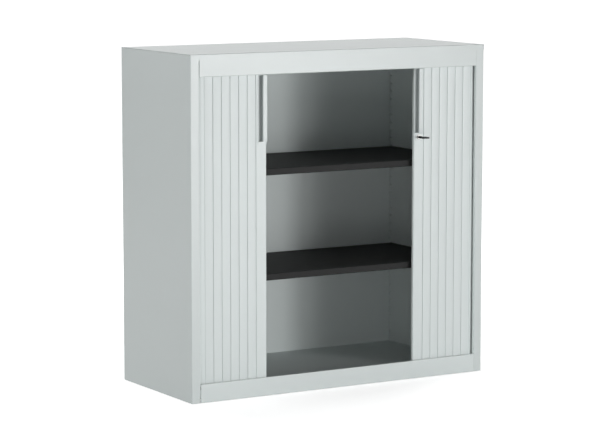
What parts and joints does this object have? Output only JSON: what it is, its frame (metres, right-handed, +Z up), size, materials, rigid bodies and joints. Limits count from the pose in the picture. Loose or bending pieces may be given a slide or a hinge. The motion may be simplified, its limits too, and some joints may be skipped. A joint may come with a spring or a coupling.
{
  "type": "tambour door cabinet",
  "caption": "Low folded-steel cabinet with sideways sliding tambour doors, recessed pulls, a cam lock with its key, adjustable shelves and levelling feet.",
  "frame": {"origin": "on the ground, under the centre of the object's bounding box with the key in its lock", "axes": "+X to the right along the doors, +Y from the front to the back, +Z up"},
  "size_m": [1, 0.4624, 0.995],
  "materials": {
    "light_grey_paint": "fine-textured light grey powder coat on folded sheet steel",
    "inner_grey_paint": "smooth light grey powder coat on folded sheet steel",
    "black_paint": "black powder coat on a folded shelf",
    "slat_plastic": "satin light grey extruded plastic",
    "handle_plastic": "satin pale grey moulded plastic",
    "track_plastic": "low-friction grey plastic runner",
    "plated_steel": "zinc-plated steel",
    "black_plastic": "black moulded plastic",
    "rubber": "black rubber buffer"
  },
  "bodies": {
    "carcass": {"left_side_panel": "light_grey_paint", "right_side_panel": "light_grey_paint", "top_panel": "light_grey_paint", "bottom_front_rail": "light_grey_paint", "base_panel": "inner_grey_paint", "back_panel": "inner_grey_paint", "left_lining": "inner_grey_paint", "right_lining": "inner_grey_paint", "left_bottom_track": "track_plastic", "left_top_track": "track_plastic", "left_track_stop": "rubber", "left_curtain_tail": "slat_plastic", "right_bottom_track": "track_plastic", "right_top_track": "track_plastic", "right_track_stop": "rubber", "right_curtain_tail": "slat_plastic", "shelf_lower": "black_paint", "shelf_upper": "black_paint", "clip_lower_front_left": "plated_steel", "clip_lower_front_right": "plated_steel", "clip_lower_rear_left": "plated_steel", "clip_lower_rear_right": "plated_steel", "clip_upper_front_left": "plated_steel", "clip_upper_front_right": "plated_steel", "clip_upper_rear_left": "plated_steel", "clip_upper_rear_right": "plated_steel", "foot_bracket_front_left": "plated_steel", "foot_bracket_front_right": "plated_steel", "foot_bracket_rear_left": "plated_steel", "foot_bracket_rear_right": "plated_steel"},
    "left_door": {"left_leading_stile": "slat_plastic", "left_handle": "handle_plastic", "left_slat_1": "slat_plastic", "left_slat_2": "slat_plastic", "left_slat_3": "slat_plastic", "left_slat_4": "slat_plastic", "left_slat_5": "slat_plastic", "left_slat_6": "slat_plastic", "keeper_plate": "plated_steel"},
    "right_door": {"right_leading_stile": "slat_plastic", "right_handle": "handle_plastic", "right_slat_1": "slat_plastic", "right_slat_2": "slat_plastic", "right_slat_3": "slat_plastic", "right_slat_4": "slat_plastic", "right_slat_5": "slat_plastic", "right_slat_6": "slat_plastic", "lock_housing": "plated_steel"},
    "lock": {"lock_plug": "plated_steel", "lock_cam": "plated_steel"},
    "key": {"key": "black_plastic"},
    "foot_front_left": {"levelling_foot_front_left": "black_plastic"},
    "foot_front_right": {"levelling_foot_front_right": "black_plastic"},
    "foot_rear_left": {"levelling_foot_rear_left": "black_plastic"},
    "foot_rear_right": {"levelling_foot_rear_right": "black_plastic"}
  },
  "joints": [
    {"name": "left_door_slide", "type": "slide", "parent": "carcass", "child": "left_door", "axis": [1, 0, 0], "range_m": [0, 0.2485], "deforming": ["left_curtain_tail"]},
    {"name": "right_door_slide", "type": "slide", "parent": "carcass", "child": "right_door", "axis": [-1, 0, 0], "range_m": [0, 0.257], "deforming": ["right_curtain_tail"]},
    {"name": "lock_turn", "type": "hinge", "parent": "right_door", "child": "lock", "pos_m": [0.274, -0.18715, 0.726], "axis": [0, 1, 0], "range_deg": [0, 90]},
    {"name": "key_draw", "type": "slide", "parent": "lock", "child": "key", "axis": [0, -1, 0], "range_m": [0, 0.013]},
    {"name": "foot_screw_front_left", "type": "slide", "parent": "carcass", "child": "foot_front_left", "axis": [0, 0, -1], "range_m": [0, 0.012]},
    {"name": "foot_screw_front_right", "type": "slide", "parent": "carcass", "child": "foot_front_right", "axis": [0, 0, -1], "range_m": [0, 0.012]},
    {"name": "foot_screw_rear_left", "type": "slide", "parent": "carcass", "child": "foot_rear_left", "axis": [0, 0, -1], "range_m": [0, 0.012]},
    {"name": "foot_screw_rear_right", "type": "slide", "parent": "carcass", "child": "foot_rear_right", "axis": [0, 0, -1], "range_m": [0, 0.012]}
  ]
}
